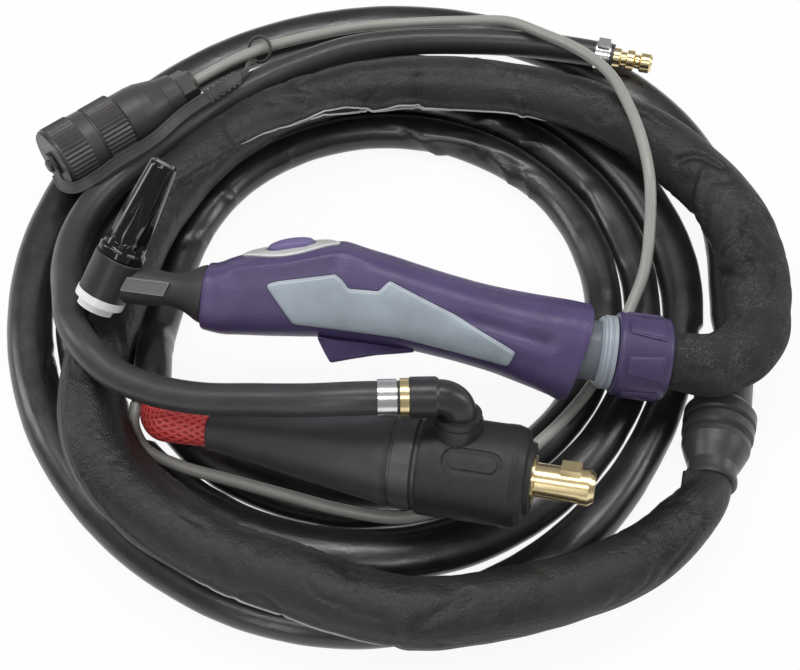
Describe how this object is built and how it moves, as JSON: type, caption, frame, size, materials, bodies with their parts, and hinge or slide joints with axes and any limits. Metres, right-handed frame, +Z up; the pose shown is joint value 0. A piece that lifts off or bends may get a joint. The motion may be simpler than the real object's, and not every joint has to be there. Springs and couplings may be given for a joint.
{
  "type": "tig welding torch with lead",
  "caption": "Air-cooled TIG torch with a moulded trigger handle on a ball knuckle, a leather-covered lead coiled flat, and its power, gas and control connectors",
  "frame": {"origin": "middle of the torch head, where the head's axis crosses the neck's axis, inside the thread for the collet body", "axes": "+Z up from the surface that the coil lies on, +X along the handle towards the knuckle"},
  "size_m": [0.3091, 0.3131, 0.0883],
  "materials": {
    "matte_black": "moulded rubber-like plastic, matt",
    "gloss_black": "glossy black plastic",
    "purple": "fine-textured purple plastic",
    "purple_button": "satin purple plastic",
    "inlay_grey": "soft grey-blue plastic",
    "pale_grey": "pale grey plastic",
    "knuckle_grey": "dark grey plastic",
    "ring_grey": "grey plastic",
    "white": "white fluoroplastic",
    "brass": "turned brass",
    "copper": "copper tube",
    "steel": "bright steel strip",
    "dark_steel": "black screws",
    "rubber": "satin black rubber",
    "seal_rubber": "black rubber",
    "leather": "black suede leather",
    "braid": "red glass-fibre braid",
    "cable_grey": "grey sheath",
    "plug_plastic": "dark brown-grey plastic",
    "plate_grey": "grey plate",
    "seat_white": "natural acetal"
  },
  "bodies": {
    "lead": {"knuckle_ball": "knuckle_grey", "cover_clamp_ring": "ring_grey", "core_hose": "rubber", "leather_cover": "leather", "cover_joint": "rubber", "lead_sleeve": "rubber", "power_cable": "braid", "control_cable": "cable_grey", "gas_hose": "rubber", "cable_boot": "rubber", "connector_collar": "rubber", "connector_body": "rubber", "connector_lip": "rubber", "power_pin": "brass", "grip_pads": "rubber", "elbow_base": "matte_black", "gas_elbow": "matte_black", "elbow_collar": "matte_black", "hose_tail_ring": "brass", "elbow_clamp": "steel", "gas_plug": "brass", "plug_clamp": "steel", "control_plug_body": "plug_plastic", "plug_insert": "matte_black", "plug_pins": "brass", "gland_nut": "plug_plastic", "dust_cap_strap": "plug_plastic"},
    "knuckle_seat": {"knuckle_seat": "seat_white"},
    "handle": {"handle_shell_left": "purple", "handle_shell_right": "purple", "side_inlay_left": "inlay_grey", "side_inlay_right": "inlay_grey", "button_bezel": "pale_grey", "trigger_switch": "matte_black", "power_tube": "copper", "handle_screws": "dark_steel", "neck": "matte_black", "neck_tube": "copper"},
    "head": {"head_body": "matte_black", "head_core": "brass", "front_insulator": "white", "neck_plate": "plate_grey"},
    "trigger_button": {"trigger_button": "purple_button"},
    "back_cap_seal": {"back_cap_seal": "seal_rubber"},
    "back_cap": {"back_cap": "gloss_black"},
    "cover_nut": {"cover_nut": "purple"},
    "coupling_ring": {"coupling_ring": "plug_plastic"},
    "dust_cap": {"dust_cap": "plug_plastic", "dust_cap_rivet": "plug_plastic"}
  },
  "joints": [
    {"name": "knuckle_tilt", "type": "hinge", "parent": "lead", "child": "knuckle_seat", "pos_m": [0.1663, -0.01849, -0.01517], "axis": [0.1045, 0.9945, 0], "range_deg": [0, 10]},
    {"name": "handle_twist", "type": "hinge", "parent": "knuckle_seat", "child": "handle", "pos_m": [0.1663, -0.01849, -0.01517], "axis": [0.991, -0.1042, -0.0837], "range_deg": [-30, 30]},
    {"name": "head_bend", "type": "hinge", "parent": "handle", "child": "head", "pos_m": [0.02775, -0.00292, -0.00234], "axis": [0.022, 0.7449, -0.6668], "range_deg": [0, 25], "deforming": ["neck", "neck_tube"]},
    {"name": "trigger_press", "type": "slide", "parent": "handle", "child": "trigger_button", "axis": [0.1467, -0.6621, -0.7349], "range_m": [0, 0.0015], "stiffness_N_per_m": 1500, "springref_m": -0.0008},
    {"name": "back_cap_travel", "type": "slide", "parent": "head", "child": "back_cap_seal", "axis": [0.4628, 0.5836, 0.6673], "range_m": [0, 0.003]},
    {"name": "back_cap_turn", "type": "hinge", "parent": "back_cap_seal", "child": "back_cap", "pos_m": [0, 0, 0], "axis": [0.4628, 0.5836, 0.6673], "range_deg": [0, 1081]},
    {"name": "cover_nut_turn", "type": "hinge", "parent": "lead", "child": "cover_nut", "pos_m": [0.19107, -0.02109, -0.01726], "axis": [0.991, -0.1042, -0.0837], "continuous": true},
    {"name": "coupling_ring_turn", "type": "hinge", "parent": "lead", "child": "coupling_ring", "pos_m": [-0.01585, 0.09257, -0.025], "axis": [0.766, 0.6428, 0], "continuous": true},
    {"name": "dust_cap_turn", "type": "hinge", "parent": "lead", "child": "dust_cap", "pos_m": [-0.02734, 0.08293, -0.025], "axis": [0.766, 0.6428, 0], "continuous": true}
  ],
  "couplings": [
    {"joint": "back_cap_turn", "follows": "back_cap_travel", "rad_per_m": 6283.2}
  ]
}
